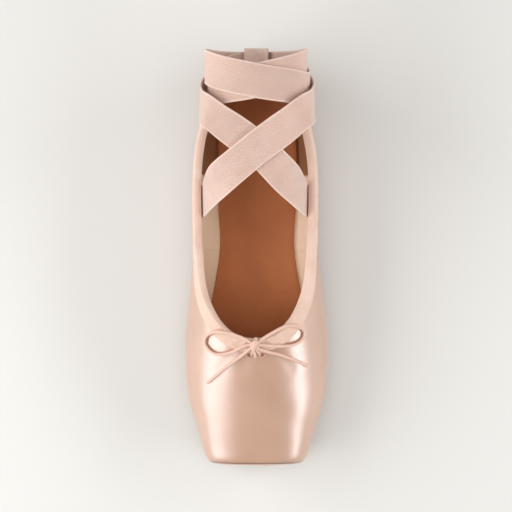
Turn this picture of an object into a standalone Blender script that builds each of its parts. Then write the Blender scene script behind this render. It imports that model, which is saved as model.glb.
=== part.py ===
"""Pointe shoe, standing on its sole: metres, +Z up, toe towards -Y, heel towards +Y.

The origin is on the tread, under the ball. The shoe is straight lasted, so either foot takes it.
"""
import math

import bmesh
import bpy
from mathutils import Vector

# Driving sizes of the last
SHOE_LENGTH = 0.2386
TOE_REACH = 0.0686
BALL_WIDTH = 0.0850
HEEL_WIDTH = 0.0740
HEEL_ROUND = 0.0786
PLATFORM_WIDTH = 0.0572
PLATFORM_DEPTH = 0.0300
HEEL_SQUARENESS = 2.2
INSTEP_HEIGHT = 0.0680
TOE_SPRING = 0.0042
ARCH_RISE = 0.0030
EDGE_ROUND = 0.0028

# Throat, topline and the opening under the foot
THROAT_REACH = 0.0540
THROAT_PLACE = 0.0055
THROAT_WIDTH = 0.0668
THROAT_SQUARENESS = 2.15
SIDE_HEIGHT = 0.0412
HEEL_HEIGHT = 0.0500
SOLE_OPENING_SETBACK = 0.0260
SOLE_OPENING_ROUND = 0.0260
SOLE_OPENING_SQUARENESS = 2.2
LAP_UNDER_SOLE = 0.0070

# Thicknesses and clearances
WALL = 0.0018
OUTSOLE_THICKNESS = 0.0025
INSOLE_THICKNESS = 0.0018
BINDING_THICKNESS = 0.0009
BINDING_OUTER_LEG = 0.0062
BINDING_INNER_LEG = 0.0036
BINDING_ROUND_SHARE = 0.35
BINDING_BULGE_SHARE = 0.75
LEG_STEP = 0.01
ELASTIC_THICKNESS = 0.0012
GAP = 0.0003
BINDING_CLEARANCE = 0.00039
INSOLE_CLEARANCE = 0.00056
ARM_CLEARANCE = 0.0005
ARM_BINDING_CLEARANCE = 0.0009

# Soles
OUTSOLE_SETBACK = 0.0200
OUTSOLE_HEEL_SETBACK = 0.0070
OUTSOLE_WIDTH = 0.0560
INSOLE_SETBACK = 0.0140
INSOLE_HEEL_SETBACK = 0.0095
INSOLE_WIDTH = 0.0640
OUTSOLE_TOE_ROUND = 0.0220
OUTSOLE_HEEL_ROUND = 0.0240
INSOLE_TOE_ROUND = 0.0240
INSOLE_HEEL_ROUND = 0.0260
SOLE_END_SQUARENESS = 2.3
SOLE_TIP_SHARE = 0.02
SOLE_ROWS = 30
SOLE_LINES = 8

# Elastics round the ankle
ELASTIC_WIDTH = 0.0190
ANKLE_WIDTH = 0.0550
ANKLE_FRONT = 0.1050
ANKLE_SETBACK = 0.0190
STRAP_LEAN = 0.0030
CROSSING_SETBACK = 0.0550
CROSSING_HEIGHT = 0.0920
CROSSING_SLOPE = 20.0
CROSSING_STEEPNESS = 37.5
CROSSING_LIFT = 0.0009
PAST_CROSSING = 0.0140
ANCHOR_SETBACK = 0.0855
ANCHOR_DEPTH = 0.0160
ANCHOR_DRIFT = 0.0020
ANCHOR_RIM_SHARE = 0.7
STRAP_STEP = 0.0045
ANKLE_STEP = 0.0052

# Heel loop
TAB_WIDTH = 0.0140
TAB_LEAN = 0.0015
TAB_EASE = 0.0018
TAB_TAIL = 0.0150
TAB_TAIL_LEAN = 0.0008
TAB_NOSE = 0.0006
TAB_CORNER = 0.0026
TAB_CLEARANCE = 0.0007
TAB_INSET = 0.0012

# Drawstring bow
CORD_DIAMETER = 0.0018
KNOT_LENGTH = 0.0066
KNOT_WIDTH = 0.0060
KNOT_HEIGHT = 0.0036
KNOT_CLEARANCE = 0.0009
CORD_STEP = 0.0038

# Sections of the last, from the platform to the middle of the heel
# place is a share of the length, width of the ball width, crown and widest of the instep height,
# under and over are how square the section is below and above its widest line
LAST_COLUMNS = ("place", "width", "crown", "widest", "under", "over")
LAST_SECTIONS = (
    (0.000, 0.673, 0.530, 0.318, 2.5, 2.5),
    (0.023, 0.718, 0.548, 0.312, 2.6, 2.4),
    (0.081, 0.812, 0.610, 0.300, 2.9, 2.2),
    (0.168, 0.950, 0.688, 0.290, 3.3, 2.05),
    (0.283, 1.000, 0.796, 0.282, 3.8, 2.0),
    (0.398, 0.946, 0.915, 0.290, 3.8, 2.0),
    (0.526, 0.880, 1.080, 0.300, 3.6, 2.0),
    (0.671, 0.871, 1.150, 0.285, 3.8, 2.0),
)

# Rise of the sole line above the floor: shares of the toe spring and of the arch rise
RISE_COLUMNS = ("place", "toe", "arch")
RISE_SECTIONS = (
    (0.000, 1.00, 0.00),
    (0.090, 0.42, 0.00),
    (0.200, 0.00, 0.00),
    (0.345, 0.00, 0.00),
    (0.450, 0.00, 0.55),
    (0.560, 0.00, 1.00),
    (0.670, 0.00, 0.55),
    (0.770, 0.00, 0.00),
    (1.000, 0.00, 0.00),
)

# Topline behind the throat: share of the way from the side height to the heel height
TOPLINE_COLUMNS = ("place", "rise")
TOPLINE_SECTIONS = (
    (0.380, 1.36),
    (0.460, 0.86),
    (0.540, 0.38),
    (0.620, 0.09),
    (0.690, 0.00),
    (0.770, 0.10),
    (0.850, 0.42),
    (0.930, 0.84),
    (1.000, 1.00),
)

# Half widths of the two soles, as shares of their full width, along their own length
SOLE_COLUMNS = ("place", "outsole", "insole")
SOLE_SECTIONS = (
    (0.00, 0.300, 0.400),
    (0.12, 0.430, 0.460),
    (0.25, 0.500, 0.500),
    (0.38, 0.470, 0.410),
    (0.55, 0.345, 0.333),
    (0.62, 0.330, 0.346),
    (0.74, 0.365, 0.362),
    (0.86, 0.385, 0.350),
    (1.00, 0.330, 0.290),
)

# How far each line of the grid runs round the last
LOWER_STEPS = 6
UPPER_STEPS = 8
BOX_ROWS = 9
THROAT_ROWS = 10
SIDE_ROWS = 4
HEEL_ROWS = 11
FACE_ROWS = 3
EDGE_ROWS = 2
TOE_UNDER_ROWS = 3
OPENING_ROWS = 5
FACE_SQUEEZE = 0.45
BOX_ROW_DRIFT = 0.96
BALL_ROW_LEAD = 0.0155
TOE_BLEND_TO = 0.168
HEEL_BLEND_FROM = 0.526
PROBE_TURN = 0.02

# Places that follow from the sizes
HEEL_BACK = SHOE_LENGTH - TOE_REACH
HEEL_PLACE = HEEL_BACK - HEEL_ROUND
SIDE_PLACE = THROAT_PLACE + THROAT_REACH
BALL_ROW_PLACE = THROAT_PLACE - BALL_ROW_LEAD
ANKLE_PLACE = HEEL_BACK - ANKLE_SETBACK
CROSSING_PLACE = HEEL_BACK - CROSSING_SETBACK
ANCHOR_PLACE = HEEL_BACK - ANCHOR_SETBACK
LAYER = ELASTIC_THICKNESS + GAP
ANKLE_BACK = HEEL_HEIGHT + BINDING_THICKNESS + 3.5 * GAP + ELASTIC_THICKNESS * 1.5 + 2 * LAYER
ANKLE_MIDDLE = (ANKLE_FRONT + ANKLE_BACK) / 2

SATIN = (0.58, 0.34, 0.22, 1.0)
COTTON = (0.83, 0.62, 0.50, 1.0)
LEATHER = (0.24, 0.08, 0.03, 1.0)
SUEDE = (0.52, 0.35, 0.22, 1.0)
ELASTIC = (0.74, 0.52, 0.42, 1.0)


def read(table, columns, column, place):
    """Value of one column at a place, on a smooth curve that never overshoots its rows."""
    at = columns.index(column)
    rows = [(row[0], row[at]) for row in table]
    if place <= rows[0][0]:
        return rows[0][1]
    if place >= rows[-1][0]:
        return rows[-1][1]
    slopes = [(b[1] - a[1]) / (b[0] - a[0]) for a, b in zip(rows, rows[1:])]
    tangents = [slopes[0]]
    for before, after in zip(slopes, slopes[1:]):
        flat = before * after <= 0
        tangents.append(0.0 if flat else 2 * before * after / (before + after))
    tangents.append(slopes[-1])
    for index, (low, high) in enumerate(zip(rows, rows[1:])):
        if place <= high[0]:
            span = high[0] - low[0]
            t = (place - low[0]) / span
            start = low[1] * (1 + 2 * t) + tangents[index] * span * t
            end = high[1] * (3 - 2 * t) - tangents[index + 1] * span * (1 - t)
            return start * (1 - t) ** 2 + end * t * t
    return rows[-1][1]


def blend(start, end, share):
    return start + (end - start) * share


def share_of_length(y):
    return (y + TOE_REACH) / SHOE_LENGTH


def rise(y):
    place = share_of_length(y)
    toe = read(RISE_SECTIONS, RISE_COLUMNS, "toe", place) * TOE_SPRING
    return toe + read(RISE_SECTIONS, RISE_COLUMNS, "arch", place) * ARCH_RISE


def section(y):
    """Half width, underside, widest line, crown and squareness of the last at one place."""
    place = min(share_of_length(y), share_of_length(HEEL_PLACE))
    row = {name: read(LAST_SECTIONS, LAST_COLUMNS, name, place) for name in LAST_COLUMNS[1:]}
    bottom = rise(y) + OUTSOLE_THICKNESS + GAP
    toe = max(0.0, 1 - share_of_length(y) / TOE_BLEND_TO)
    heel = max(0.0, (share_of_length(y) - HEEL_BLEND_FROM)
               / (share_of_length(HEEL_PLACE) - HEEL_BLEND_FROM))
    half = row["width"] * BALL_WIDTH / 2
    half += toe ** 2 * (PLATFORM_WIDTH - LAST_SECTIONS[0][1] * BALL_WIDTH) / 2
    half += min(heel, 1.0) * (HEEL_WIDTH - LAST_SECTIONS[-1][1] * BALL_WIDTH) / 2
    crown = row["crown"] * INSTEP_HEIGHT
    tip_crown = LAST_SECTIONS[0][2] * INSTEP_HEIGHT
    crown += toe ** 2 * (TOE_SPRING + OUTSOLE_THICKNESS + GAP + PLATFORM_DEPTH - tip_crown)
    return half, bottom, row["widest"] * INSTEP_HEIGHT, crown, row["under"], row["over"]


def plan(y, turn):
    """Outline point and inward direction: straight sections, then turned round the heel."""
    if turn <= 0:
        return Vector((section(y)[0], y)), Vector((-1.0, 0.0))
    half = section(HEEL_PLACE)[0]
    across = math.cos(turn) ** (2 / HEEL_SQUARENESS)
    back = math.sin(turn) ** (2 / HEEL_SQUARENESS)
    inward = Vector((-(across ** (HEEL_SQUARENESS - 1)) / half,
                     -(back ** (HEEL_SQUARENESS - 1)) / HEEL_ROUND))
    return Vector((half * across, HEEL_PLACE + HEEL_ROUND * back)), inward.normalized()


def below(y, turn, share, shrink=0.0):
    """Point of the last under its widest line; share is 0 at the middle and 1 at the side."""
    outline, inward = plan(y, turn)
    half, _, widest, _, under, _ = section(outline.y if turn <= 0 else HEEL_PLACE)
    bottom = rise(outline.y) + OUTSOLE_THICKNESS + GAP + shrink
    height = widest - (widest - bottom) * max(0.0, 1 - share ** under) ** (1 / under)
    spot = outline + inward * (half * (1 - share) + shrink * share)
    return Vector((spot.x, spot.y, height))


def above(y, turn, angle, shrink=0.0):
    """Point of the last over its widest line; angle is 0 at the side and 90 degrees on top."""
    outline, inward = plan(y, turn)
    half, _, widest, crown, _, over = section(outline.y if turn <= 0 else HEEL_PLACE)
    share = max(0.0, math.cos(angle)) ** (2 / over)
    height = widest + (crown - shrink - widest) * max(0.0, math.sin(angle)) ** (2 / over)
    spot = outline + inward * (half * (1 - share) + shrink * share)
    return Vector((spot.x, spot.y, height))


def angle_at_height(y, height):
    _, _, widest, crown, _, over = section(min(y, HEEL_PLACE))
    return math.asin(((height - widest) / (crown - widest)) ** (over / 2))


def angle_at_width(y, across):
    half, _, _, _, _, over = section(y)
    return math.acos((across / half) ** (over / 2))


def throat_spot(share):
    """Topline from the middle of the throat, share 0, back to the side of the waist, share 1."""
    turn = share * math.pi / 2
    across = THROAT_WIDTH / 2 * math.sin(turn) ** (2 / THROAT_SQUARENESS)
    back = THROAT_REACH * (1 - math.cos(turn) ** (2 / THROAT_SQUARENESS))
    return across, THROAT_PLACE + back


def topline_height(y):
    place = share_of_length(y)
    return blend(SIDE_HEIGHT, HEEL_HEIGHT, read(TOPLINE_SECTIONS, TOPLINE_COLUMNS, "rise", place))


def throat_angle(y, across):
    """The throat's plan shapes the topline in front, and its height takes over at the side."""
    by_width = angle_at_width(y, across)
    share = (y - THROAT_PLACE) / (SIDE_PLACE - THROAT_PLACE)
    share = min(1.0, max(0.0, share * 2 - 1))
    return blend(by_width, angle_at_height(y, topline_height(y)), share * share * (3 - 2 * share))


def outsole_half(y):
    length = SHOE_LENGTH - OUTSOLE_SETBACK - OUTSOLE_HEEL_SETBACK
    place = (y + TOE_REACH - OUTSOLE_SETBACK) / length
    return read(SOLE_SECTIONS, SOLE_COLUMNS, "outsole", place) * OUTSOLE_WIDTH


def opening_share(y):
    """Edge of the opening under the foot, as a share of the half width; 0 where it is closed."""
    front = SOLE_OPENING_SETBACK - TOE_REACH
    full = front + SOLE_OPENING_ROUND
    if y <= front:
        return 0.0
    half = outsole_half(y) - LAP_UNDER_SOLE
    if y < full:
        reach = (full - y) / SOLE_OPENING_ROUND
        half *= (1 - reach ** SOLE_OPENING_SQUARENESS) ** (1 / SOLE_OPENING_SQUARENESS)
    return half / section(min(y, HEEL_PLACE))[0]


def rows_of_last():
    """Each row of the grid: where it meets the opening below, the side and the topline."""
    rows = []
    front = EDGE_ROUND - TOE_REACH
    bottom_front = SOLE_OPENING_SETBACK - TOE_REACH
    for index in range(BOX_ROWS):
        share = index / BOX_ROWS
        side = blend(front, BALL_ROW_PLACE, share)
        rows.append({"side": side, "turn": 0.0, "angle": math.pi / 2,
                     "top": blend(front, THROAT_PLACE, share ** BOX_ROW_DRIFT)})
    for index in range(THROAT_ROWS):
        share = index / THROAT_ROWS
        across, top = throat_spot(share)
        rows.append({"side": blend(BALL_ROW_PLACE, SIDE_PLACE, share), "turn": 0.0,
                     "angle": throat_angle(top, across), "top": top})
    for index in range(SIDE_ROWS):
        place = blend(SIDE_PLACE, HEEL_PLACE, index / SIDE_ROWS)
        rows.append({"side": place, "turn": 0.0, "top": place,
                     "angle": angle_at_height(place, topline_height(place))})
    for index in range(HEEL_ROWS + 1):
        turn = index / HEEL_ROWS * math.pi / 2
        back = plan(0.0, turn)[0].y if turn > 0 else HEEL_PLACE
        rows.append({"side": HEEL_PLACE, "turn": turn, "top": HEEL_PLACE,
                     "angle": angle_at_height(back, topline_height(back))})
    for index, row in enumerate(rows):
        row["bottom"] = row["side"]
        row["edge"] = opening_share(row["side"])
        if index < TOE_UNDER_ROWS:
            row["bottom"] = blend(front, bottom_front, index / TOE_UNDER_ROWS)
            row["edge"] = 0.0
        elif index < TOE_UNDER_ROWS + OPENING_ROWS:
            turn = (index - TOE_UNDER_ROWS) / OPENING_ROWS * math.pi / 2
            reach = 1 - math.cos(turn) ** (2 / SOLE_OPENING_SQUARENESS)
            row["bottom"] = bottom_front + SOLE_OPENING_ROUND * reach
            row["edge"] = opening_share(row["bottom"])
    return rows


def row_points(row):
    """One line of the grid, from the opening under the foot over the side to the topline."""
    points = []
    for step in range(LOWER_STEPS):
        t = step / LOWER_STEPS
        share = blend(row["edge"], 1.0, math.sin(t * math.pi / 2))
        points.append(below(blend(row["bottom"], row["side"], t), row["turn"], share))
    for step in range(UPPER_STEPS + 1):
        t = step / UPPER_STEPS
        place = blend(row["side"], row["top"], t)
        points.append(above(place, row["turn"], row["angle"] * t))
    return points


def platform_points(shrink, forward, squeeze=1.0):
    """One line of the platform: the front section drawn in, and squeezed to its middle."""
    place = EDGE_ROUND - TOE_REACH
    _, bottom, _, crown, _, _ = section(place)
    middle = (bottom + crown) / 2
    points = []
    for step in range(LOWER_STEPS):
        share = math.sin(step / LOWER_STEPS * math.pi / 2)
        points.append(below(place, 0.0, share, shrink))
    for step in range(UPPER_STEPS + 1):
        points.append(above(place, 0.0, step / UPPER_STEPS * math.pi / 2, shrink))
    for point in points:
        point.y = forward
        point.x *= squeeze
        point.z = middle + (point.z - middle) * blend(FACE_SQUEEZE, 1.0, squeeze)
    return points


def material(name, colour, roughness):
    made = bpy.data.materials.new(name)
    made.use_nodes = True
    shader = made.node_tree.nodes["Principled BSDF"]
    shader.inputs["Base Color"].default_value = colour
    shader.inputs["Roughness"].default_value = roughness
    shader.inputs["Metallic"].default_value = 0.0
    return made


def finish(name, mesh, collection, surface):
    mesh.shade_smooth()
    mesh.set_sharp_from_angle(angle=math.radians(40))
    mesh.materials.append(surface)
    made = bpy.data.objects.new(name, mesh)
    collection.objects.link(made)
    return made


def skin(name, rows, closed_lines=False, caps=False):
    """Mesh over rows of points, joined row to row."""
    shape = bmesh.new()
    grid = [[shape.verts.new(point) for point in row] for row in rows]
    for one, two in zip(grid, grid[1:]):
        lines = list(zip(one, two, one[1:], two[1:]))
        if closed_lines:
            lines.append((one[-1], two[-1], one[0], two[0]))
        for a, b, c, d in lines:
            shape.faces.new((a, b, d, c))
    if caps:
        shape.faces.new(list(reversed(grid[0])))
        shape.faces.new(grid[-1])
    bmesh.ops.recalc_face_normals(shape, faces=shape.faces)
    mesh = bpy.data.meshes.new(name)
    shape.to_mesh(mesh)
    shape.free()
    return mesh


def make_upper(collection, surface):
    """Satin shell on the last, one wall thick, open at the throat and under the foot."""
    rows = []
    for index in range(FACE_ROWS):
        rows.append(platform_points(EDGE_ROUND, -TOE_REACH, index / FACE_ROWS))
    for index in range(EDGE_ROWS):
        turn = index / EDGE_ROWS * math.pi / 2
        inset = EDGE_ROUND * (1 - math.sin(turn))
        rows.append(platform_points(inset, EDGE_ROUND * (1 - math.cos(turn)) - TOE_REACH))
    rows += [row_points(row) for row in rows_of_last()]
    for point in rows[0] + rows[-1]:
        point.x = 0.0
    for row in rows:
        for point in (row[0], row[-1]):
            point.x = 0.0 if abs(point.x) < 1e-5 else point.x
    mesh = skin("upper", rows)
    shell = finish("upper", mesh, collection, surface)
    mirror = shell.modifiers.new("Both sides", "MIRROR")
    mirror.use_axis = (True, False, False)
    mirror.merge_threshold = 0.00001
    wall = shell.modifiers.new("Wall", "SOLIDIFY")
    wall.thickness = WALL
    wall.offset = -1.0
    wall.use_even_offset = True
    return shell


def surface_frame(row, t):
    """Point and outward normal on a row of the last; t is 1 at the topline."""
    small = PROBE_TURN
    place = blend(row["side"], row["top"], t)
    angle = row["angle"] * t
    point = above(place, row["turn"], angle)
    along = above(place, row["turn"], angle - small) - point
    if row["turn"] > 0:
        aside = above(place, row["turn"] - small, angle) - point
    else:
        aside = above(place - small * BALL_WIDTH, 0.0, angle) - point
    normal = aside.cross(along).normalized()
    if normal.dot(point - Vector((0.0, min(max(point.y, 0.0), HEEL_PLACE), 0.0))) < 0:
        normal.negate()
    return point, normal


def on_last(spot):
    """A spot near the front of the last, drawn onto it, and the outward normal there."""
    half, _, widest, crown, _, over = section(spot.y)
    across = abs(spot.x) / half
    height = max(0.0, spot.z - widest) / (crown - widest)
    size = (across ** over + height ** over) ** (1 / over)
    angle = math.acos(min(1.0, across / size) ** (over / 2))
    point, normal = surface_frame({"side": spot.y, "top": spot.y, "turn": 0.0, "angle": angle}, 1.0)
    if spot.x < 0:
        point.x = -point.x
        normal.x = -normal.x
    return point, normal


def leg_point(rows, index, length):
    """Point and normal on the last at a length straight down from the topline."""
    row = rows[index]
    point, normal = surface_frame(row, 1.0)
    if row["turn"] > 0 or index == len(rows) - 1:
        t = 1.0
        last = point
        gone = 0.0
        while gone < length:
            t -= LEG_STEP
            last, before = surface_frame(row, t)[0], last
            gone += (last - before).length
        return surface_frame(row, t)
    after = surface_frame(rows[index + 1], 1.0)[0]
    before = surface_frame(rows[index - 1], 1.0)[0] if index else Vector((-after.x, after.y, after.z))
    down = normal.cross(after - before).normalized()
    if down.z * 2 + down.y > 0 and down.z > -0.2:
        down.negate()
    return on_last(point + down * length)


def binding_section(rows, index):
    """Folded strip over the topline: outer leg, round top and inner leg."""
    near = BINDING_CLEARANCE
    far = near + BINDING_THICKNESS
    point, normal = surface_frame(rows[index], 1.0)
    low, low_normal = leg_point(rows, index, BINDING_OUTER_LEG)
    middle, middle_normal = leg_point(rows, index, BINDING_OUTER_LEG / 2)
    inner, inner_normal = leg_point(rows, index, BINDING_INNER_LEG)
    up = point - middle
    up = (up - normal * up.dot(normal)).normalized()
    inside = -WALL
    corner = BINDING_THICKNESS * BINDING_ROUND_SHARE
    return [
        low + low_normal * near,
        low + low_normal * far,
        middle + middle_normal * far,
        point + normal * far,
        point + normal * (far - corner) + up * far * BINDING_BULGE_SHARE,
        point + normal * inside / 2 + up * (far + GAP / 2),
        point + normal * (inside - far + corner) + up * far * BINDING_BULGE_SHARE,
        point + normal * (inside - far),
        inner + inner_normal * (inside - far),
        inner + inner_normal * (inside - near),
        point + normal * (inside - near) + up * near,
        point + normal * near + up * near,
        middle + middle_normal * near,
    ]


def make_binding(collection, surface):
    """Casing of the drawstring, folded over the whole topline."""
    rows = rows_of_last()[BOX_ROWS:]
    half = [binding_section(rows, index) for index in range(len(rows))]
    for line in (half[0], half[-1]):
        for point in line:
            point.x = 0.0
    mesh = skin("binding", half, closed_lines=True)
    strip = finish("binding", mesh, collection, surface)
    mirror = strip.modifiers.new("Both sides", "MIRROR")
    mirror.use_axis = (True, False, False)
    mirror.merge_threshold = 0.00001
    return strip


def rounded_end(reach):
    """Share of a sole's width left near an end; reach is 0 where the rounding starts."""
    left = 1 - max(0.0, reach) ** SOLE_END_SQUARENESS
    return max(SOLE_TIP_SHARE, left) ** (1 / SOLE_END_SQUARENESS)


def plate_rows(front, back, half_at, low_at, high_at, round_front, round_back):
    """Cross sections of a sole, rounded in plan at both ends."""
    rows = []
    for index in range(SOLE_ROWS + 1):
        y = front + (back - front) * (1 - math.cos(index / SOLE_ROWS * math.pi)) / 2
        half = half_at(y) * rounded_end((front + round_front - y) / round_front)
        half *= rounded_end((y - back + round_back) / round_back)
        across = [half * (2 * line / SOLE_LINES - 1) for line in range(SOLE_LINES + 1)]
        top = [Vector((x, y, high_at(x, y))) for x in across]
        under = [Vector((x, y, low_at(x, y))) for x in reversed(across)]
        rows.append(top + under)
    return rows


def underside(x, y):
    """Height of the upper's underside over a spot of the floor."""
    half, _, widest, _, under, _ = section(min(y, HEEL_PLACE))
    bottom = rise(y) + OUTSOLE_THICKNESS + GAP
    share = abs(x) / half
    back = max(0.0, y - HEEL_PLACE) / HEEL_ROUND
    if back > 0:
        size = (share ** HEEL_SQUARENESS + back ** HEEL_SQUARENESS) ** (1 / HEEL_SQUARENESS)
        across = (share / size) ** (HEEL_SQUARENESS - 1)
        along = (back / size) ** (HEEL_SQUARENESS - 1)
        reach = 1 / math.hypot(across / half, along / HEEL_ROUND)
        share = 1 - (1 - size) * reach / half
    share = min(max(share, 0.0), 0.95)
    return widest - (widest - bottom) * (1 - share ** under) ** (1 / under)


def make_outsole(collection, surface):
    """Leather outsole, cut short of the platform, with its arch between two flat treads."""
    front = OUTSOLE_SETBACK - TOE_REACH
    rows = plate_rows(front, HEEL_BACK - OUTSOLE_HEEL_SETBACK, outsole_half,
                      lambda x, y: rise(y),
                      lambda x, y: underside(x, y) - GAP,
                      OUTSOLE_TOE_ROUND, OUTSOLE_HEEL_ROUND)
    return finish("outsole", skin("outsole", rows, closed_lines=True, caps=True), collection, surface)


def make_insole(collection, surface):
    """Leather insole laid over the turned-in edge of the upper."""
    front = INSOLE_SETBACK - TOE_REACH
    back = HEEL_BACK - INSOLE_HEEL_SETBACK
    bed = WALL + INSOLE_CLEARANCE

    def half_at(y):
        place = (y - front) / (back - front)
        return read(SOLE_SECTIONS, SOLE_COLUMNS, "insole", place) * INSOLE_WIDTH

    rows = plate_rows(front, back, half_at,
                      lambda x, y: underside(x, y) + bed,
                      lambda x, y: underside(x, y) + bed + INSOLE_THICKNESS,
                      INSOLE_TOE_ROUND, INSOLE_HEEL_ROUND)
    return finish("insole", skin("insole", rows, closed_lines=True, caps=True), collection, surface)


def smooth(rows, spacing):
    """Points on a smooth curve through the rows, evenly spaced; each row is a flat tuple."""
    size = len(rows[0])
    ends = [tuple(2 * a - b for a, b in zip(rows[0], rows[1]))]
    ends += list(rows) + [tuple(2 * a - b for a, b in zip(rows[-1], rows[-2]))]
    fine = []
    pieces = 24
    for a, b, c, d in zip(ends, ends[1:], ends[2:], ends[3:]):
        for step in range(pieces):
            t = step / pieces
            fine.append(tuple(
                0.5 * (2 * b[i] + (c[i] - a[i]) * t + (2 * a[i] - 5 * b[i] + 4 * c[i] - d[i]) * t * t
                       + (3 * b[i] - a[i] - 3 * c[i] + d[i]) * t ** 3) for i in range(size)))
    fine.append(tuple(rows[-1]))
    gone = [0.0]
    for one, two in zip(fine, fine[1:]):
        gone.append(gone[-1] + math.dist(one[:3], two[:3]))
    count = max(2, round(gone[-1] / spacing))
    picked = []
    at = 0
    for index in range(count + 1):
        target = gone[-1] * index / count
        while at < len(gone) - 2 and gone[at + 1] < target:
            at += 1
        share = (target - gone[at]) / max(gone[at + 1] - gone[at], 1e-9)
        picked.append(tuple(blend(fine[at][i], fine[at + 1][i], share) for i in range(size)))
    return picked


def facing(turn, lean):
    """Direction a strap faces: turned from straight up towards +X, then leant to the toe."""
    turn, lean = math.radians(turn), math.radians(lean)
    return Vector((math.sin(turn) * math.cos(lean), -math.sin(lean), math.cos(turn) * math.cos(lean)))


def ribbon(name, rows, width, thickness, collection, surface, spacing):
    """Flat strap along rows of x, y, z and the direction it faces, and its lift along it."""
    path = smooth(rows, spacing)
    sections = []
    for index, spot in enumerate(path):
        before = Vector(path[max(index - 1, 0)][:3])
        after = Vector(path[min(index + 1, len(path) - 1)][:3])
        ahead = (after - before).normalized()
        face = Vector(spot[3:6]).normalized()
        across = face.cross(ahead).normalized()
        face = ahead.cross(across)
        centre = Vector(spot[:3]) + face * spot[6]
        side, half = across * width / 2, face * thickness / 2
        sections.append([centre - side - half, centre + side - half,
                         centre + side + half, centre - side + half])
    return finish(name, skin(name, sections, closed_lines=True, caps=True), collection, surface)


def round_ankle(angle, place, layer, lift=0.0):
    """Row of a strap on the oval round the ankle; angle 0 is its right side and 90 its front."""
    turn = math.radians(angle)
    across = ANKLE_WIDTH / 2 + layer * LAYER
    deep = (ANKLE_FRONT - ANKLE_BACK) / 2 + layer * LAYER
    x = STRAP_LEAN + across * math.cos(turn)
    z = ANKLE_MIDDLE + deep * math.sin(turn)
    outward = Vector((math.cos(turn) / across, 0.0, math.sin(turn) / deep)).normalized()
    return (x, ANKLE_PLACE + place * ELASTIC_WIDTH, z, outward.x, 0.0, outward.z, lift)


# Two turns of the ankle elastic: angle, height above the ankle line in widths, and layer
ANKLE_TURNS = (
    (-77, 0.58, 0.0),
    (-45, 0.57, 0.0),
    (0, 0.54, 0.0),
    (45, 0.27, 0.0),
    (90, 0.00, 0.0),
    (135, -0.14, 0.0),
    (180, -0.14, 0.0),
    (215, 0.20, 0.0),
    (245, 0.54, 0.0),
    (259, 0.58, 0.0),
    (281, 0.58, 1.0),
    (295, 0.54, 1.0),
    (325, 0.20, 1.0),
    (360, -0.14, 1.0),
    (405, -0.14, 1.0),
    (450, 0.00, 1.0),
    (495, 0.27, 1.0),
    (540, 0.54, 1.0),
    (585, 0.57, 1.0),
    (617, 0.58, 1.0),
)


def make_ankle_elastic(collection, surface):
    """Inner elastic, two turns round the ankle that cross in front."""
    rows = [round_ankle(*row) for row in ANKLE_TURNS]
    return ribbon("ankle_elastic", rows, ELASTIC_WIDTH, ELASTIC_THICKNESS, collection, surface,
                  ANKLE_STEP)


def wall_inside(y, z):
    half, _, widest, crown, _, over = section(y)
    height = max(0.0, (z - widest) / (crown - widest))
    return half * (1 - height ** over) ** (1 / over) - WALL


# Arm of the crossed elastic from its quarter to the crossing: shares of the way across, along
# and up, then the turn and lean of its face and its share of the lift that parts the two arms
ARM_ROWS = (
    (0.10, 0.17, 0.27, -66, 5, 0.0),
    (0.25, 0.33, 0.60, -44, 11, 0.1),
    (0.42, 0.49, 0.81, -22, 17, 0.5),
    (0.62, 0.67, 0.915, -5, 20, 1.0),
    (1.00, 1.00, 1.00, 0, 20, 1.0),
)

# The arm's way round the ankle after the crossing: angle, height in widths and layer
ARM_TURNS = (
    (39, -0.92, 3.5),
    (14, -0.66, 3.0),
    (-15, -0.32, 2.55),
    (-45, 0.16, 2.35),
    (-70, 0.55, 2.13),
    (-90, 0.58, 2.0),
)
ARM_PAST_CROSSING = ((PAST_CROSSING, 0, 20, 1.0),)


def arm_rows(side, lift):
    """Half of the crossed elastic: side 1 starts in the left quarter and ends behind the ankle."""
    rows = []
    rim = topline_height(ANCHOR_PLACE)
    low = rim - ANCHOR_DEPTH
    seat = ARM_CLEARANCE + ELASTIC_THICKNESS / 2
    bound = seat + BINDING_THICKNESS + ARM_BINDING_CLEARANCE
    low_x = wall_inside(ANCHOR_PLACE, low) - seat
    rim_z = rim - BINDING_INNER_LEG * ANCHOR_RIM_SHARE
    rim_y = ANCHOR_PLACE + ANCHOR_DRIFT
    rim_x = wall_inside(rim_y, rim_z) - bound
    for x, y, z, turn in ((low_x, ANCHOR_PLACE, low, -84), (rim_x, rim_y, rim_z, -76)):
        rows.append((-x * side, y, z) + tuple(facing(turn * side, 0)) + (0.0,))
    cross = Vector((STRAP_LEAN, CROSSING_PLACE, CROSSING_HEIGHT))
    for across, along, up, turn, lean, share in ARM_ROWS:
        x = blend(-rim_x * side, cross.x, across)
        spot = (x, blend(ANCHOR_PLACE, cross.y, along), blend(rim, cross.z, up))
        rows.append(spot + tuple(facing(turn * side, lean)) + (lift * share,))
    slope = math.radians(CROSSING_SLOPE)
    steep = math.radians(CROSSING_STEEPNESS)
    ahead = Vector((math.cos(steep) * side, math.sin(steep) * math.cos(slope),
                    math.sin(steep) * math.sin(slope)))
    for reach, turn, lean, share in ARM_PAST_CROSSING:
        spot = cross + ahead * reach
        rows.append(tuple(spot) + tuple(facing(turn * side, lean)) + (lift * share,))
    for angle, place, layer in ARM_TURNS:
        row = list(round_ankle(angle, place, layer))
        row[0] = STRAP_LEAN + (row[0] - STRAP_LEAN) * side
        row[3] *= side
        rows.append(tuple(row))
    return rows


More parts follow.
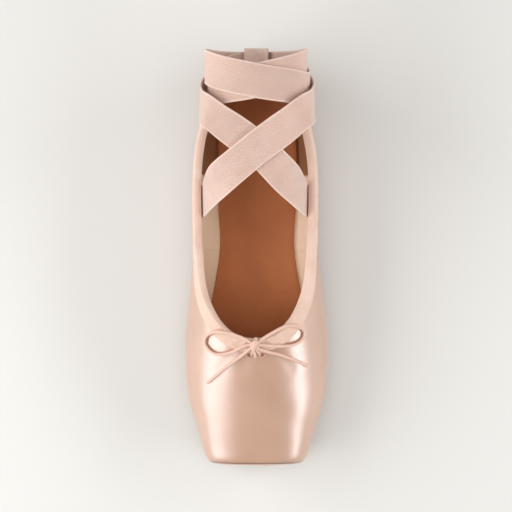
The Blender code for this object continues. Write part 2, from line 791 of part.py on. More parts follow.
def make_crossed_elastic(collection, surface):
    """Outer elastic: from one quarter over the foot, behind the ankle and back to the other."""
    over = arm_rows(1, CROSSING_LIFT)
    under = arm_rows(-1, -CROSSING_LIFT)
    rows = over + list(reversed(under))[1:]
    return ribbon("crossed_elastic", rows, ELASTIC_WIDTH, ELASTIC_THICKNESS, collection, surface,
                  STRAP_STEP)


def make_heel_loop(collection, surface):
    """Folded loop on the heel seam that holds the elastics: a tail inside and a lap on the rim."""
    back = ANKLE_PLACE + ANKLE_TURNS[0][1] * ELASTIC_WIDTH
    reach = ELASTIC_WIDTH / 2 + TAB_CLEARANCE
    bend = LAYER + (TAB_EASE + GAP) / 2 + ELASTIC_THICKNESS
    low = ANKLE_BACK - 2 * LAYER - ELASTIC_THICKNESS - GAP
    middle = low + bend
    inside = heel_inside(HEEL_HEIGHT, TAB_WIDTH / 2 + TAB_LEAN) - BINDING_THICKNESS - GAP
    tail = inside - ELASTIC_THICKNESS / 2 - TAB_INSET
    bent = tail - TAB_CORNER
    spots = [(tail - TAB_TAIL_LEAN, HEEL_HEIGHT - TAB_TAIL, 1, 0), (tail, low - TAB_CORNER, 1, 0)]
    for angle in (30, 60):
        turn = math.radians(angle)
        spots.append((bent + TAB_CORNER * math.cos(turn), low - TAB_CORNER * (1 - math.sin(turn)),
                      math.cos(turn), math.sin(turn)))
    spots.append((bent, low, 0, 1))
    for angle in (-90, -45, 0, 45, 90):
        turn = math.radians(angle)
        spots.append((back - reach - TAB_NOSE * math.cos(turn), middle + bend * math.sin(turn),
                      math.cos(turn), -math.sin(turn)))
    for angle in (90, 45, 0, -45, -90):
        turn = math.radians(angle)
        spots.append((back + reach + TAB_NOSE * math.cos(turn), middle + bend * math.sin(turn),
                      -math.cos(turn), -math.sin(turn)))
    spots.append((tail + ELASTIC_THICKNESS / 2 + 2 * GAP, low, 0, 1))
    sections = []
    for index, (y, z, face_y, face_z) in enumerate(spots):
        face = Vector((0.0, face_y, face_z)).normalized() * ELASTIC_THICKNESS / 2
        centre = Vector((TAB_LEAN, y, z))
        side = Vector((TAB_WIDTH / 2, 0.0, 0.0))
        sections.append([centre - side - face, centre + side - face,
                         centre + side + face, centre - side + face])
    return finish("heel_loop", skin("heel_loop", sections, closed_lines=True, caps=True),
                  collection, surface)


def heel_inside(height, across):
    """How far back the inner wall lies at the heel, at a height and a place across."""
    angle = angle_at_height(HEEL_BACK, height)
    half, _, _, _, _, over = section(HEEL_PLACE)
    inset = half * (1 - math.cos(angle) ** (2 / over)) + WALL
    bulge = (1 - (across / half) ** HEEL_SQUARENESS) ** (1 / HEEL_SQUARENESS)
    return HEEL_PLACE + HEEL_ROUND * bulge - inset


def vamp_height(x, y):
    half, _, widest, crown, _, over = section(y)
    return widest + (crown - widest) * (1 - min(1.0, abs(x) / half) ** over) ** (1 / over)


# Drawstring: routes on the vamp as place across, place along and height over the satin
BOW_ROUTES = {
    "bow_loop_left": (
        (-0.0019, 0.0060, 0.0038),
        (-0.0088, 0.0086, 0.0042),
        (-0.0158, 0.0106, 0.0038),
        (-0.0222, 0.0109, 0.0034),
        (-0.0272, 0.0086, 0.0021),
        (-0.0288, 0.0044, 0.0015),
        (-0.0262, 0.0000, 0.0015),
        (-0.0210, -0.0024, 0.0016),
        (-0.0136, -0.0010, 0.0024),
        (-0.0080, 0.0018, 0.0030),
        (-0.0032, 0.0036, 0.0034),
    ),
    "bow_loop_right": (
        (0.0029, 0.0060, 0.0038),
        (0.0112, 0.0108, 0.0044),
        (0.0190, 0.0145, 0.0040),
        (0.0252, 0.0140, 0.0032),
        (0.0290, 0.0108, 0.0022),
        (0.0276, 0.0062, 0.0017),
        (0.0226, 0.0032, 0.0023),
        (0.0150, 0.0028, 0.0029),
        (0.0092, 0.0032, 0.0033),
        (0.0042, 0.0036, 0.0034),
    ),
    "bow_end_left": (
        (-0.0021, 0.0013, 0.0030),
        (-0.0062, -0.0020, 0.0027),
        (-0.0108, -0.0056, 0.0018),
        (-0.0158, -0.0092, 0.0015),
        (-0.0216, -0.0142, 0.0015),
        (-0.0275, -0.0194, 0.0015),
    ),
    "bow_end_right": (
        (0.0031, 0.0013, 0.0030),
        (0.0086, -0.0006, 0.0026),
        (0.0145, -0.0021, 0.0020),
        (0.0200, -0.0042, 0.0016),
        (0.0256, -0.0068, 0.0015),
        (0.0310, -0.0095, 0.0015),
    ),
}
KNOT_SPOT = (0.0005, 0.0036)


def make_bow(collection, surface):
    """Drawstring tied at the throat: a knot, two loops and two ends, each its own piece."""
    for name, route in BOW_ROUTES.items():
        rows = [(x, y, vamp_height(x, y) + lift) for x, y, lift in route]
        path = smooth(rows, CORD_STEP)
        curve = bpy.data.curves.new(name, "CURVE")
        curve.dimensions = "3D"
        curve.bevel_depth = CORD_DIAMETER / 2
        curve.bevel_resolution = 2
        curve.use_fill_caps = True
        line = curve.splines.new("POLY")
        line.points.add(len(path) - 1)
        for point, spot in zip(line.points, path):
            point.co = (*spot, 1.0)
        line.use_smooth = True
        curve.materials.append(surface)
        collection.objects.link(bpy.data.objects.new(name, curve))
    x, y = KNOT_SPOT
    shape = bmesh.new()
    bmesh.ops.create_uvsphere(shape, u_segments=14, v_segments=8, radius=0.5)
    bmesh.ops.scale(shape, vec=(KNOT_LENGTH, KNOT_WIDTH, KNOT_HEIGHT), verts=shape.verts)
    high = vamp_height(x, y) + BINDING_THICKNESS + KNOT_CLEARANCE + KNOT_HEIGHT / 2
    bmesh.ops.translate(shape, vec=(x, y, high), verts=shape.verts)
    mesh = bpy.data.meshes.new("bow_knot")
    shape.to_mesh(mesh)
    shape.free()
    finish("bow_knot", mesh, collection, surface)


def main():
    for old in list(bpy.data.objects):
        bpy.data.objects.remove(old, do_unlink=True)
    shoe = bpy.data.collections.new("pointe_shoe")
    bpy.context.scene.collection.children.link(shoe)
    make_upper(shoe, material("satin", SATIN, 0.35))
    cotton = material("cotton", COTTON, 0.8)
    make_binding(shoe, cotton)
    make_outsole(shoe, material("suede", SUEDE, 0.8))
    make_insole(shoe, material("leather", LEATHER, 0.55))
    elastic = material("elastic", ELASTIC, 0.75)
    make_ankle_elastic(shoe, elastic)
    make_crossed_elastic(shoe, elastic)
    make_heel_loop(shoe, elastic)
    make_bow(shoe, cotton)


main()
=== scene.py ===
"""Looks of the pointe shoe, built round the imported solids: metres, +Z up, toe towards -Y."""
import math

import bmesh
import bpy
from mathutils import Matrix, Vector, noise
from mathutils.bvhtree import BVHTree


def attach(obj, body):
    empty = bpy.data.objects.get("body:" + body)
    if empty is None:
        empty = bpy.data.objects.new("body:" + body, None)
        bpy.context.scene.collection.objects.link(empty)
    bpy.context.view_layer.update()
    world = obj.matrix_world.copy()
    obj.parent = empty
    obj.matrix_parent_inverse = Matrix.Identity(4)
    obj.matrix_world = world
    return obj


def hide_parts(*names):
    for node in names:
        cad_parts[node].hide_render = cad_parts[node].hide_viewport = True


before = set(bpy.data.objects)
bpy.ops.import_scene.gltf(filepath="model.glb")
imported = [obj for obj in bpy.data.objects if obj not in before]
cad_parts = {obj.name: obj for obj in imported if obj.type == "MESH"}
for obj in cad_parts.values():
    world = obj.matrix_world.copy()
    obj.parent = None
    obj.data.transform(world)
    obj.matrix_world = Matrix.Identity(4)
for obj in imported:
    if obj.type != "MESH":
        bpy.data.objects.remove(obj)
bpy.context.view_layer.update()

# Camera
# It stands over the shoe, which lies on its sole, and looks down on the vamp from a little to
# the shoe's right, as the photograph does.
EYE = Vector((0.044, 0.0652, 1.10))
AIM = Vector((-0.0010, 0.0540, 0.0))
LENS = 128.0
SENSOR_WIDTH = 36.0

camera = bpy.data.objects.new("camera", bpy.data.cameras.new("camera"))
bpy.context.scene.collection.objects.link(camera)
camera.data.lens = LENS
camera.data.sensor_width = SENSOR_WIDTH
back = (EYE - AIM).normalized()
right = Vector((0.0, 1.0, 0.0)).cross(back).normalized()
up = back.cross(right)
camera.matrix_world = Matrix.Translation(EYE) @ Matrix((right, up, back)).transposed().to_4x4()
bpy.context.scene.camera = camera

# Drawstring
# A round cotton cord runs inside the topline's casing and comes out at two eyelets under the
# throat. Its two sides are tied there in a small bow and end bare.
CORD_DIAMETER = 0.0018
CORD_SPACING = 0.0016
CORD_ROUNDNESS = 3
CORD_COLOUR = (0.76, 0.50, 0.40, 1.0)
CURVE_STEPS = 20

# A height over the whole shoe, the lowest that its vamp goes under the bow, and the vamp's edge
OVER_SHOE = 0.2
VAMP_LOWEST = 0.03
VAMP_EDGE = 0.0040

# Corners nearer than the first are one, and a length under the second is none
SAME_PLACE = 1e-6
NO_LENGTH = 1e-9

# Each row is a place across, a place along and the height over the satin
CORD_ROUTES = {
    "drawstring_left": (
        (-0.0017, -0.0024, -0.0006),
        (-0.0008, -0.0010, 0.0014),
        (-0.0002, 0.0010, 0.0028),
        (-0.0004, 0.0036, 0.0038),
        (-0.0026, 0.0058, 0.0040),
        (-0.0088, 0.0086, 0.0042),
        (-0.0158, 0.0106, 0.0038),
        (-0.0222, 0.0109, 0.0031),
        (-0.0272, 0.0086, 0.0021),
        (-0.0288, 0.0044, 0.0015),
        (-0.0262, 0.0000, 0.0015),
        (-0.0210, -0.0024, 0.0016),
        (-0.0136, -0.0010, 0.0024),
        (-0.0080, 0.0018, 0.0030),
        (-0.0032, 0.0036, 0.0034),
        (0.0004, 0.0032, 0.0034),
        (0.0031, 0.0013, 0.0030),
        (0.0086, -0.0006, 0.0026),
        (0.0145, -0.0021, 0.0020),
        (0.0200, -0.0042, 0.0016),
        (0.0256, -0.0068, 0.0015),
        (0.0310, -0.0095, 0.0015),
    ),
    "drawstring_right": (
        (0.0037, -0.0022, -0.0006),
        (0.0026, -0.0010, 0.0014),
        (0.0016, 0.0010, 0.0028),
        (0.0018, 0.0038, 0.0038),
        (0.0042, 0.0064, 0.0042),
        (0.0112, 0.0108, 0.0044),
        (0.0190, 0.0145, 0.0040),
        (0.0252, 0.0140, 0.0032),
        (0.0290, 0.0108, 0.0022),
        (0.0276, 0.0062, 0.0017),
        (0.0226, 0.0032, 0.0023),
        (0.0150, 0.0028, 0.0029),
        (0.0092, 0.0032, 0.0033),
        (0.0042, 0.0036, 0.0036),
        (0.0008, 0.0030, 0.0040),
        (-0.0021, 0.0013, 0.0032),
        (-0.0062, -0.0020, 0.0027),
        (-0.0108, -0.0056, 0.0018),
        (-0.0158, -0.0092, 0.0015),
        (-0.0216, -0.0142, 0.0015),
        (-0.0275, -0.0194, 0.0015),
    ),
}
CORD_REPLACES = {
    "drawstring_left": ("bow_loop_left", "bow_end_right"),
    "drawstring_right": ("bow_loop_right", "bow_end_left"),
}


def merged(node):
    """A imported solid's loose triangles as one bmesh with shared corners."""
    shape = bmesh.new()
    shape.from_mesh(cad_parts[node].data)
    bmesh.ops.remove_doubles(shape, verts=shape.verts, dist=SAME_PLACE)
    return shape


solid_upper = merged("upper")
upper_surface = BVHTree.FromBMesh(solid_upper)


def on_vamp(across, along, lift):
    """A place over the vamp, or over the throat beside it, at a height over the satin."""
    down = Vector((0.0, 0.0, -1.0))
    spot = upper_surface.ray_cast(Vector((across, along, OVER_SHOE)), down)[0]
    if spot is None or spot.z < VAMP_LOWEST:
        spot = upper_surface.ray_cast(Vector((across, VAMP_EDGE, OVER_SHOE)), down)[0]
    return Vector((across, along, spot.z + lift))


def curved(a, b, c, d, t):
    """A place between b and c on the smooth curve through four places."""
    return 0.5 * (2 * b + (c - a) * t + (2 * a - 5 * b + 4 * c - d) * t * t
                  + (3 * b - a - 3 * c + d) * t ** 3)


def lengths_along(spots):
    """How far along its line each spot lies."""
    gone = [0.0]
    for one, two in zip(spots, spots[1:]):
        gone.append(gone[-1] + (two - one).length)
    return gone


def smooth_line(rows, spacing):
    """Evenly spaced points on a smooth curve through the rows."""
    ends = [rows[0] * 2 - rows[1]] + rows + [rows[-1] * 2 - rows[-2]]
    fine = []
    for a, b, c, d in zip(ends, ends[1:], ends[2:], ends[3:]):
        fine += [curved(a, b, c, d, step / CURVE_STEPS) for step in range(CURVE_STEPS)]
    fine.append(rows[-1])
    gone = lengths_along(fine)
    count = max(2, round(gone[-1] / spacing))
    picked, at = [], 0
    for index in range(count + 1):
        target = gone[-1] * index / count
        while at < len(gone) - 2 and gone[at + 1] < target:
            at += 1
        share = (target - gone[at]) / max(gone[at + 1] - gone[at], NO_LENGTH)
        picked.append(fine[at].lerp(fine[at + 1], share))
    return picked, gone[-1]


def socket_named(name):
    """A shader socket's own name from its name in plain code."""
    return name.replace("_", " ").title().replace("Ior", "IOR")


def surface_material(name, colour, roughness, **sockets):
    """A new material and its shader, with further sockets set by name."""
    made = bpy.data.materials.new(name)
    made.use_nodes = True
    shader = made.node_tree.nodes["Principled BSDF"]
    shader.inputs["Base Color"].default_value = colour
    shader.inputs["Roughness"].default_value = roughness
    for socket, value in sockets.items():
        shader.inputs[socket_named(socket)].default_value = value
    return made, shader


def add_node(material, kind, **values):
    """A node with its plain properties and inputs set by name."""
    node = material.node_tree.nodes.new(kind)
    for name, value in values.items():
        if hasattr(node, name):
            setattr(node, name, value)
        else:
            node.inputs[socket_named(name)].default_value = value
    return node


def join(material, one, two):
    material.node_tree.links.new(one, two)


def bump_of(material, shader, height, strength, distance):
    """Raises the surface by a height that nodes give, on top of what is there."""
    bump = add_node(material, "ShaderNodeBump", strength=strength, distance=distance)
    join(material, height, bump.inputs["Height"])
    if shader.inputs["Normal"].is_linked:
        join(material, shader.inputs["Normal"].links[0].from_socket, bump.inputs["Normal"])
    join(material, bump.outputs["Normal"], shader.inputs["Normal"])


def grain_bump(material, shader, vector, scale, detail, strength, distance):
    """Raises the surface by fine noise, for fibres, nap and grain."""
    grain = add_node(material, "ShaderNodeTexNoise", scale=scale, detail=detail)
    join(material, vector, grain.inputs["Vector"])
    bump_of(material, shader, grain.outputs["Fac"], strength, distance)


def object_place(material):
    """Where a spot lies on its piece, which every pattern here follows but the webbing's."""
    return add_node(material, "ShaderNodeTexCoord").outputs["Object"]


def add_piece(name, shape, slot, *replaced):
    """A finished shape as a piece that rides on the shoe's one body."""
    piece = bpy.data.objects.new(name, shape)
    bpy.context.scene.collection.objects.link(piece)
    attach(piece, "root")
    if replaced:
        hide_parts(*replaced)
    return piece


def round_cord(name, diameter, runs, material):
    """A round cord along smooth paths, each with its share of the diameter."""
    line = bpy.data.curves.new(name, "CURVE")
    line.dimensions = "3D"
    line.bevel_depth = diameter / 2
    line.bevel_resolution = CORD_ROUNDNESS
    line.use_fill_caps = True
    for thickness, path in runs:
        spline = line.splines.new("POLY")
        spline.points.add(len(path) - 1)
        for point, spot in zip(spline.points, path):
            point.co = (*spot, 1.0)
            point.radius = thickness
        spline.use_smooth = True
    line.materials.append(material)
    return line


cotton, cotton_shader = surface_material("cord_cotton", CORD_COLOUR, 0.82, sheen_weight=0.35)
grain_bump(cotton, cotton_shader, object_place(cotton),
           scale=2600.0, detail=3.0, strength=0.5, distance=0.0002)

for name, rows in CORD_ROUTES.items():
    path, length = smooth_line([on_vamp(*row) for row in rows], CORD_SPACING)
    line = round_cord(name, CORD_DIAMETER, [(1.0, path)], cotton)
    cord = add_piece(name, line, "cotton", *CORD_REPLACES[name])
    print("cord", name, round(length, 4))

# Knot of the bow
# The same cord pulled tight: a thick turn over the crossing, a strand that slants under its top
# and an end that tucks down between the eyelets.
KNOT_CORD = 0.0018
KNOT_SPACING = KNOT_CORD / 3

# Each turn is its share of the cord's thickness and its rows, as in the cord's routes
KNOT_TURNS = (
    (1.45, ((0.0013, 0.0070, 0.0022), (0.0013, 0.0061, 0.0046), (0.0009, 0.0044, 0.0056),
            (0.0002, 0.0024, 0.0050), (-0.0003, 0.0008, 0.0032))),
    (1.00, ((-0.0016, 0.0030, 0.0034), (-0.0004, 0.0046, 0.0048), (0.0012, 0.0056, 0.0052),
            (0.0024, 0.0050, 0.0042), (0.0032, 0.0040, 0.0030))),
    (0.95, ((-0.0003, 0.0014, 0.0040), (0.0001, -0.0002, 0.0032), (0.0006, -0.0018, 0.0020),
            (0.0008, -0.0034, 0.0004))),
)
turns = [(thickness, smooth_line([on_vamp(*row) for row in rows], KNOT_SPACING)[0])
         for thickness, rows in KNOT_TURNS]
knot = add_piece("bow_knot_turns", round_cord("bow_knot_turns", KNOT_CORD, turns, cotton),
                 "cotton", "bow_knot")

# Upper
# Satin over a canvas lining, lasted over a hardened toe box and pleated in under the toe. The
# heel is lined with brown leather, and a seam closes it at the back and at each side.
SATIN = (0.555, 0.31, 0.205, 1.0)
SATIN_SHADE = (0.485, 0.26, 0.165, 1.0)
SATIN_DRAWN = (4.0, 0.35, 0.7)
CLOTH_THREADS = 9000.0
CANVAS = (0.94, 0.74, 0.57, 1.0)
HEEL_LINING = (0.34, 0.155, 0.07, 1.0)

# The pleats lie fan-wise round a centre under the toe, on faces that turn down, and fade out
# above the sole's edge
PLEATS = 26
PLEAT_DEPTH = 0.0009
PLEAT_CENTRE = Vector((0.0, -0.034, 0.0))
PLEATS_FROM = 0.0100
PLEATS_TO = 0.0350
PLEATS_TOP = 0.011
PLEATS_FADE = 0.004
PLEAT_MEAN = 0.6
PLEAT_WAVER = 0.6
PLEAT_WAVES = 3
PLEAT_SLICE = (0.3, 0.7)
PLEAT_FACING = 2
TOE_BACK = -0.036
TOE_TOP = 0.013

# The middle line of the foot's space: its two ends along the shoe and its height
CENTRE_LINE = (-0.040, 0.110, 0.026)

# The platform's edge is drawn in at its corners, towards its own middle
CORNER_FROM = -0.0625
CORNER_REACH = 0.0061
CORNER_SHARPNESS = 2.5
CORNER_DRAW = 0.085
CORNER_DRAW_UP = CORNER_DRAW * 0.6
CORNER_HEIGHT = 0.020

# Painted light and shade on the satin along the shoe at the platform's rim, a painted highlight
# strip near the tip and a painted dark line where the edge turns down: share of the rim's reach
# and tone
RIM_FROM = -0.0690
RIM_TO = -0.0650
RIM_PAINTED_LIGHT_AND_SHADE = ((0.0, 0.44), (0.24, 0.62), (0.33, 0.58), (0.43, 0.08), (0.54, 0.32), (0.70, 0.5))
RIM_TINT = (1.0, 0.97, 0.95)
RIM_PLAIN = (0.5, 0.5, 0.5, 1.0)
RIM_GAIN = 2.0

# Seams are pressed in, the lining laps over its side seam, and the heel's leather starts behind
# that seam on a slant
SIDE_SEAM_PLACE = 0.0576
SEAM_HALF = 0.0006
SEAM_DEPTH = 0.0005
LAP_WIDTH = 0.0060
LAP_HEIGHT = 0.0005
HEEL_LINING_FROM = 0.0995
HEEL_LINING_BLUR = 0.0006
HEEL_LINING_SLANT = -0.35

# The skin's own slight waves, how far a face turns outwards before it counts as outside, and how
# far either way before it counts as the face of a wall and not as its rim
WAVE_HEIGHT = 0.00022
WAVES = 70
WAVE_FADE = 3
OUTSIDE_FROM = 0.05
WALL_FROM = 0.3

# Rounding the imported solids: how flat and square a pair of triangles is to join as one face, how
# often the rounded form is set back on its packed corners, and the most that it moves for that
FLAT_WITHIN = math.radians(50)
SQUARE_WITHIN = math.radians(60)
ROUNDING = 2
SET_BACKS = 3
MOST_MOVED = 0.0014
EVERYWHERE = 1.0

# Sewn lines of the shell: a spot on each, its direction across, the box it lies in and 1 for
# outside or -1 for the lining
SEAMS = (
    (Vector((0.0, SIDE_SEAM_PLACE, 0.0)), Vector((0.0, 1.0, 0.12)).normalized(),
     (-EVERYWHERE, 0.045, 0.0060), (EVERYWHERE, 0.070, 0.060), 1),
    (Vector((0.0, SIDE_SEAM_PLACE, 0.0)), Vector((0.0, 1.0, 0.05)).normalized(),
     (-EVERYWHERE, 0.045, 0.0080), (EVERYWHERE, 0.070, 0.060), -1),
    (Vector((0.0, 0.0, 0.0)), Vector((1.0, 0.0, 0.0)),
     (-0.010, 0.155, 0.0050), (0.010, EVERYWHERE, 0.060), 1),
    (Vector((0.0, 0.0, 0.0)), Vector((1.0, 0.0, 0.0)),
     (-0.010, 0.155, 0.0080), (0.010, EVERYWHERE, 0.060), -1),
)

# Soft creases of the satin: two ends of each, its width, and its height over the skin
CREASE_STEEPNESS = 2
CREASES = (
    (Vector((-0.0050, -0.0030, 0.055)), Vector((-0.0075, -0.0120, 0.051)), 0.0026, -0.0003),
    (Vector((0.0005, -0.0050, 0.055)), Vector((0.0005, -0.0120, 0.051)), 0.0030, 0.0003),
    (Vector((0.0070, -0.0030, 0.055)), Vector((0.0095, -0.0110, 0.051)), 0.0026, -0.0003),
    (Vector((-0.0120, 0.0000, 0.052)), Vector((-0.0200, -0.0120, 0.046)), 0.0040, -0.0004),
    (Vector((0.0130, 0.0010, 0.052)), Vector((0.0210, -0.0100, 0.046)), 0.0040, -0.0004),
    (Vector((-0.0370, 0.0150, 0.036)), Vector((-0.0405, -0.0120, 0.020)), 0.0070, -0.0005),
    (Vector((0.0370, 0.0150, 0.036)), Vector((0.0405, -0.0120, 0.020)), 0.0070, -0.0005),
    (Vector((-0.0385, 0.0450, 0.040)), Vector((-0.0360, 0.0640, 0.012)), 0.0050, -0.0006),
    (Vector((0.0385, 0.0450, 0.040)), Vector((0.0360, 0.0640, 0.012)), 0.0050, -0.0006),
    (Vector((-0.0375, 0.0750, 0.040)), Vector((-0.0345, 0.0880, 0.010)), 0.0050, -0.0005),
    (Vector((0.0375, 0.0750, 0.040)), Vector((0.0345, 0.0880, 0.010)), 0.0050, -0.0005),
    (Vector((-0.0240, 0.1500, 0.046)), Vector((-0.0300, 0.1300, 0.014)), 0.0060, -0.0005),
    (Vector((0.0240, 0.1500, 0.046)), Vector((0.0300, 0.1300, 0.014)), 0.0060, -0.0005),
)


def outward(spot, normal):
    """Above zero where a face of the shell looks away from the shoe's middle line."""
    start, end, height = CENTRE_LINE
    middle = Vector((0.0, min(max(spot.y, start), end), height))
    return normal.dot((spot - middle).normalized())


def near_line(spot, start, end, width):
    """1 on a line and 0 well away from it, on a soft bell."""
    along = end - start
    share = min(max((spot - start).dot(along) / along.length_squared, 0.0), 1.0)
    gone = (spot - start - along * share).length / width
    return math.exp(-gone * gone * CREASE_STEEPNESS)


def pleat_lift(spot):
    """Height of the pleats that gather the satin under the toe towards the outsole."""
    reach = Vector((spot.x, spot.y - PLEAT_CENTRE.y))
    if reach.y > 0 or spot.z > PLEATS_TOP:
        return 0.0
    turn = math.atan2(reach.x, -reach.y)
    waver = PLEAT_WAVER * noise.noise(Vector((turn * PLEAT_WAVES, *PLEAT_SLICE)))
    fold = abs(math.sin(turn * PLEATS / 2 + waver))
    fade = min(max((PLEATS_TO - reach.length) / (PLEATS_TO - PLEATS_FROM), 0.0), 1.0)
    rim = min(max((PLEATS_TOP - spot.z) / PLEATS_FADE, 0.0), 1.0)
    return (fold - PLEAT_MEAN) * PLEAT_DEPTH * fade * rim


def as_mesh(shape, name):
    """A bmesh made into a mesh, and let go."""
    mesh = bpy.data.meshes.new(name)
    shape.to_mesh(mesh)
    shape.free()
    return mesh


def refined(shape, name):
    """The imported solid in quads, rounded by subdivision that still meets each packed corner."""
    bmesh.ops.join_triangles(shape, faces=shape.faces, angle_face_threshold=FLAT_WITHIN,
                             angle_shape_threshold=SQUARE_WITHIN)
    rough = as_mesh(shape, name + "_rough")
    carrier = bpy.data.objects.new(name + "_rough", rough)
    bpy.context.scene.collection.objects.link(carrier)
    finer = carrier.modifiers.new("Finer", "SUBSURF")
    finer.levels = ROUNDING
    finer.render_levels = ROUNDING
    finer.boundary_smooth = "PRESERVE_CORNERS"
    corners = [vertex.co.copy() for vertex in rough.vertices]
    moved = [Vector() for corner in corners]
    for attempt in range(SET_BACKS + 1):
        shown = carrier.evaluated_get(bpy.context.evaluated_depsgraph_get())
        mesh = bpy.data.meshes.new_from_object(shown)
        if attempt < SET_BACKS:
            for index, corner in enumerate(corners):
                moved[index] += corner - mesh.vertices[index].co
                moved[index] *= min(1.0, MOST_MOVED / max(moved[index].length, NO_LENGTH))
                rough.vertices[index].co = corner + moved[index]
            rough.update()
    bpy.data.objects.remove(carrier, do_unlink=True)
    mesh.name = name
    return mesh


def place_piece(name, mesh, slot, replaced, *materials):
    """A finished mesh in its materials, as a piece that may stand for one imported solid."""
    chosen = [face.material_index for face in mesh.polygons]
    mesh.materials.clear()
    for material in materials:
        mesh.materials.append(material)
    if len(materials) > 1:
        mesh.polygons.foreach_set("material_index", chosen)
    mesh.shade_smooth()
    add_piece(name, mesh, slot, *([replaced] if replaced else []))


upper_mesh = refined(solid_upper, "satin_upper")
shape = bmesh.new()
shape.from_mesh(upper_mesh)
shape.normal_update()
toe_faces = [face for face in shape.faces
             if face.calc_center_median().y < TOE_BACK and face.calc_center_median().z < TOE_TOP
             and outward(face.calc_center_median(), face.normal) > 0]
toe_edges = list({edge for face in toe_faces for edge in face.edges})
bmesh.ops.subdivide_edges(shape, edges=toe_edges, cuts=1, use_grid_fill=True)
shape.normal_update()
for vertex in shape.verts:
    end = max(0.0, (CORNER_FROM - vertex.co.y) / CORNER_REACH) ** CORNER_SHARPNESS
    vertex.co.x *= 1 - CORNER_DRAW * end
    vertex.co.z += (CORNER_HEIGHT - vertex.co.z) * CORNER_DRAW_UP * end
seams = []
for spot, across, low, high, side in SEAMS:
    for offset in (-SEAM_HALF, 0.0, SEAM_HALF):
        near = []
        for face in shape.faces:
            middle = face.calc_center_median()
            if (all(least < value < most for least, value, most in zip(low, middle, high))
                    and outward(middle, face.normal) * side > 0):
                near.append(face)
        geom = near + list({edge for face in near for edge in face.edges})
        geom += list({vertex for face in near for vertex in face.verts})
        cut = bmesh.ops.bisect_plane(shape, geom=geom, dist=SAME_PLACE, plane_no=across,
                                     plane_co=spot + across * offset)["geom_cut"]
        if offset == 0.0:
            seams.append([item for item in cut if isinstance(item, bmesh.types.BMVert)])
shape.normal_update()
for line in seams:
    moved = [(vertex, vertex.co - vertex.normal * SEAM_DEPTH) for vertex in line]
    for vertex, spot in moved:
        vertex.co = spot
for vertex in shape.verts:
    facing_out = outward(vertex.co, vertex.normal)
    if facing_out <= OUTSIDE_FROM:
        if vertex.co.y > SIDE_SEAM_PLACE + SEAM_HALF and abs(facing_out) > WALL_FROM:
            lap = max(0.0, 1 - (vertex.co.y - SIDE_SEAM_PLACE) / LAP_WIDTH)
            vertex.co += vertex.normal * LAP_HEIGHT * lap
        continue
    lift = pleat_lift(vertex.co) * min(max(-vertex.normal.z, 0.0) * PLEAT_FACING, 1.0)
    for start, end, width, height in CREASES:
        lift += near_line(vertex.co, start, end, width) * height
    lift += WAVE_HEIGHT * noise.noise(vertex.co * WAVES) * min(1.0, facing_out * WAVE_FADE)
    vertex.co += vertex.normal * lift
for face in shape.faces:
    face.material_index = 0 if outward(face.calc_center_median(), face.normal) > 0 else 1
shape.to_mesh(upper_mesh)
shape.free()


def new_group(name, inputs, outputs):
    """An empty node group with its sockets, its two end nodes and its vector's three axes."""
    group = bpy.data.node_groups.new(name, "ShaderNodeTree")
    group.interface.new_socket("Vector", in_out="INPUT", socket_type="NodeSocketVector")
    for socket in inputs:
        group.interface.new_socket(socket, in_out="INPUT", socket_type="NodeSocketFloat")
    for socket in outputs:
        group.interface.new_socket(socket, in_out="OUTPUT", socket_type="NodeSocketFloat")
    entry = group.nodes.new("NodeGroupInput")
    leave = group.nodes.new("NodeGroupOutput")
    axes = group.nodes.new("ShaderNodeSeparateXYZ")
    group.links.new(entry.outputs["Vector"], axes.inputs[0])
    return group, entry, leave, axes


def maths(group, operation, *inputs):
    """One sum in a node group, from numbers and from what other nodes put out."""
    node = group.nodes.new("ShaderNodeMath")
    node.operation = operation
    for socket, value in zip(node.inputs, inputs):
        if isinstance(value, float):
            socket.default_value = value
        else:
            group.links.new(value, socket)
    return node.outputs[0]


def weave_group():
    """Fine cloth weave: crossed threads of a given spacing, in the coordinates it is given."""
    group, entry, leave, axes = new_group("weave", ["Threads"], ["Height"])
    waves = [maths(group, "SINE", maths(group, "MULTIPLY", axes.outputs[axis],
                                        entry.outputs["Threads"])) for axis in ("X", "Y")]
    group.links.new(maths(group, "MULTIPLY", *waves), leave.inputs["Height"])
    return group


weave = weave_group()


def add_weave(material, shader, vector, threads, strength, distance):
    """Raises the surface by the threads of a plain weave."""
    node = add_node(material, "ShaderNodeGroup", node_tree=weave)
    node.inputs["Threads"].default_value = threads
    join(material, vector, node.inputs["Vector"])
    bump_of(material, shader, node.outputs["Height"], strength, distance)


# Sockets of a Mix node that mixes colours
FIRST_COLOUR, SECOND_COLOUR, MIXED_COLOUR = 6, 7, 2


def mixed(material, share, one, two, blend_type="MIX"):
    """Two colours mixed, each input a value or what another node puts out."""
    node = add_node(material, "ShaderNodeMix", data_type="RGBA", blend_type=blend_type)
    for socket, value in ((0, share), (FIRST_COLOUR, one), (SECOND_COLOUR, two)):
        if isinstance(value, bpy.types.NodeSocket):
            join(material, value, node.inputs[socket])
        else:
            node.inputs[socket].default_value = value
    return node.outputs[MIXED_COLOUR]


def axes_of(material, vector):
    """The X, Y and Z of a vector."""
    axes = add_node(material, "ShaderNodeSeparateXYZ")
    join(material, vector, axes.inputs[0])
    return axes


def ramp_between(material, value, low, high):
    """0 below one value and 1 over another, with a straight rise between them."""
    node = add_node(material, "ShaderNodeMapRange")
    node.inputs["From Min"].default_value = low
    node.inputs["From Max"].default_value = high
    join(material, value, node.inputs["Value"])
    return node.outputs["Result"]


